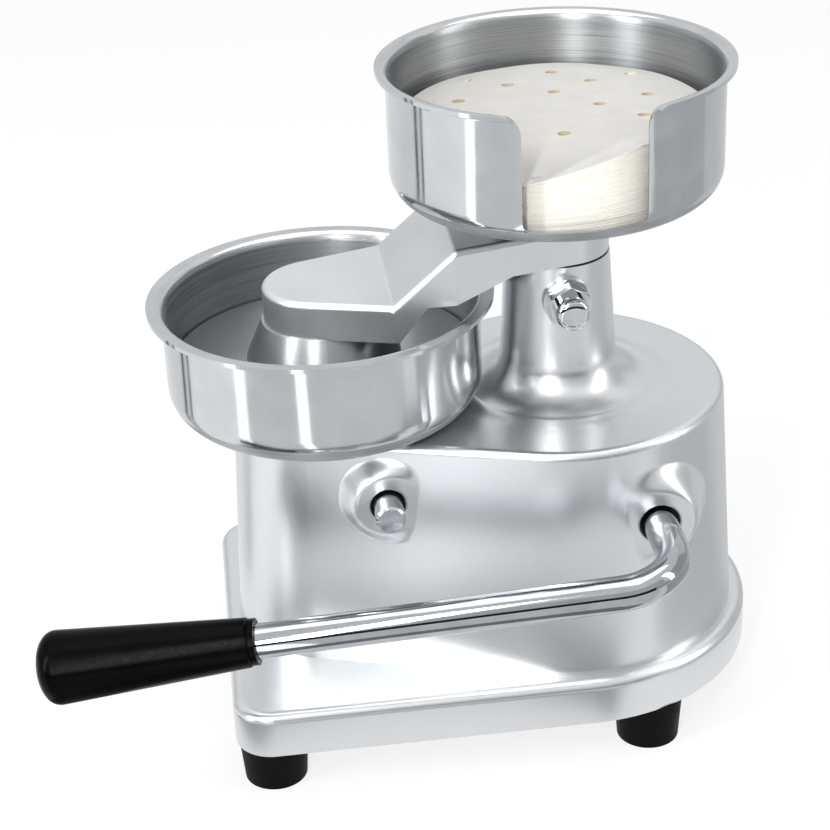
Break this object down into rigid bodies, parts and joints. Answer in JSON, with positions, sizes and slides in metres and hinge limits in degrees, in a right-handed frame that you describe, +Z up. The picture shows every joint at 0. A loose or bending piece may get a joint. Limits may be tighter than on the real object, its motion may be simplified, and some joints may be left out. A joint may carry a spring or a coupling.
{
  "type": "burger press",
  "caption": "Hand burger press: a lever lifts a press plate out of a round mould, raises the ejector, and carries a bowl of paper discs over the column.",
  "frame": {"origin": "on the floor, under the middle of the whole press with its handle down", "axes": "+Z up, -Y towards the mould and the user, +X towards the handle"},
  "size_m": [0.2112, 0.321, 0.297],
  "materials": {
    "housing": "satin cast aluminium, sealed",
    "column": "satin cast aluminium, sealed",
    "rubber_feet": "matt black rubber",
    "foot_screws": "zinc-plated steel",
    "mould_bowl": "stainless, polished outside and brushed inside",
    "mould_screws": "stainless screws",
    "upper_bush": "sintered bronze",
    "lower_bush": "sintered bronze",
    "guide_pin": "ground steel",
    "lock_nut": "bright nickel plate",
    "dome_nut": "bright nickel plate",
    "rear_bushes": "sintered bronze",
    "front_bushes": "sintered bronze",
    "ejector_bush": "sintered bronze",
    "handle_rod": "chromed round steel",
    "grip": "glossy black moulded plastic",
    "grip_collar": "black plastic ring",
    "lift_pinion": "machined steel",
    "rear_roll_pins": "spring steel",
    "rear_crank": "machined steel",
    "rear_crank_pin": "ground steel",
    "rear_collar": "machined steel",
    "ram": "ground stainless steel",
    "arm": "satin cast aluminium, sealed",
    "ram_screw": "steel screw",
    "plate_hub": "satin aluminium",
    "press_plate": "satin aluminium",
    "plate_screw": "stainless screw",
    "bowl_spacer": "turned aluminium",
    "paper_bowl": "stainless, polished outside and brushed inside",
    "bowl_screws": "stainless screws",
    "front_shaft": "ground stainless steel",
    "eject_pinion": "machined steel",
    "front_roll_pins": "spring steel",
    "front_crank": "machined steel",
    "front_crank_pin": "ground steel",
    "front_collar": "machined steel",
    "connecting_rod": "flat steel bar",
    "ejector_stem": "stainless steel",
    "ejector_plate": "brushed stainless",
    "ejector_screw": "stainless screw",
    "paper_stack": "greaseproof paper"
  },
  "bodies": {
    "frame": {"housing": "housing", "column": "column", "rubber_feet": "rubber_feet", "foot_screws": "foot_screws", "mould_bowl": "mould_bowl", "mould_screws": "mould_screws", "upper_bush": "upper_bush", "lower_bush": "lower_bush", "guide_pin": "guide_pin", "lock_nut": "lock_nut", "dome_nut": "dome_nut", "rear_bushes": "rear_bushes", "front_bushes": "front_bushes", "ejector_bush": "ejector_bush"},
    "handle": {"handle_rod": "handle_rod", "grip": "grip", "grip_collar": "grip_collar", "lift_pinion": "lift_pinion", "rear_roll_pins": "rear_roll_pins", "rear_crank": "rear_crank", "rear_crank_pin": "rear_crank_pin", "rear_collar": "rear_collar"},
    "head": {"ram": "ram", "arm": "arm", "ram_screw": "ram_screw", "plate_hub": "plate_hub", "press_plate": "press_plate", "plate_screw": "plate_screw", "bowl_spacer": "bowl_spacer", "paper_bowl": "paper_bowl", "bowl_screws": "bowl_screws"},
    "ejector_shaft": {"front_shaft": "front_shaft", "eject_pinion": "eject_pinion", "front_roll_pins": "front_roll_pins", "front_crank": "front_crank", "front_crank_pin": "front_crank_pin", "front_collar": "front_collar"},
    "link": {"connecting_rod": "connecting_rod"},
    "ejector": {"ejector_stem": "ejector_stem", "ejector_plate": "ejector_plate", "ejector_screw": "ejector_screw"},
    "paper": {"paper_stack": "paper_stack"}
  },
  "joints": [
    {"name": "handle_turn", "type": "hinge", "parent": "frame", "child": "handle", "pos_m": [-0.02014, 0.10552, 0.1128], "axis": [-1, 0, 0], "range_deg": [0, 100]},
    {"name": "head_lift", "type": "slide", "parent": "frame", "child": "head", "axis": [0, 0, 1], "range_m": [0, 0.03841]},
    {"name": "ejector_shaft_turn", "type": "hinge", "parent": "frame", "child": "ejector_shaft", "pos_m": [-0.02014, -0.00848, 0.124], "axis": [-1, 0, 0], "range_deg": [0, 100]},
    {"name": "link_turn", "type": "hinge", "parent": "handle", "child": "link", "pos_m": [-0.04614, 0.12231, 0.09565], "axis": [-1, 0, 0], "range_deg": [-100, 0]},
    {"name": "ejector_lift", "type": "slide", "parent": "frame", "child": "ejector", "axis": [0, 0, 1], "range_m": [0, 0.0227]},
    {"name": "paper_lift_out", "type": "slide", "parent": "head", "child": "paper", "axis": [0, 0, 1], "range_m": [0, 0.06]}
  ],
  "couplings": [
    {"joint": "head_lift", "follows": "handle_turn", "m_per_rad": 0.022},
    {"joint": "ejector_shaft_turn", "follows": "handle_turn", "ratio": 1},
    {"joint": "link_turn", "follows": "handle_turn", "ratio": -1},
    {"joint": "ejector_lift", "follows": "handle_turn", "m_per_rad": 0.013}
  ]
}
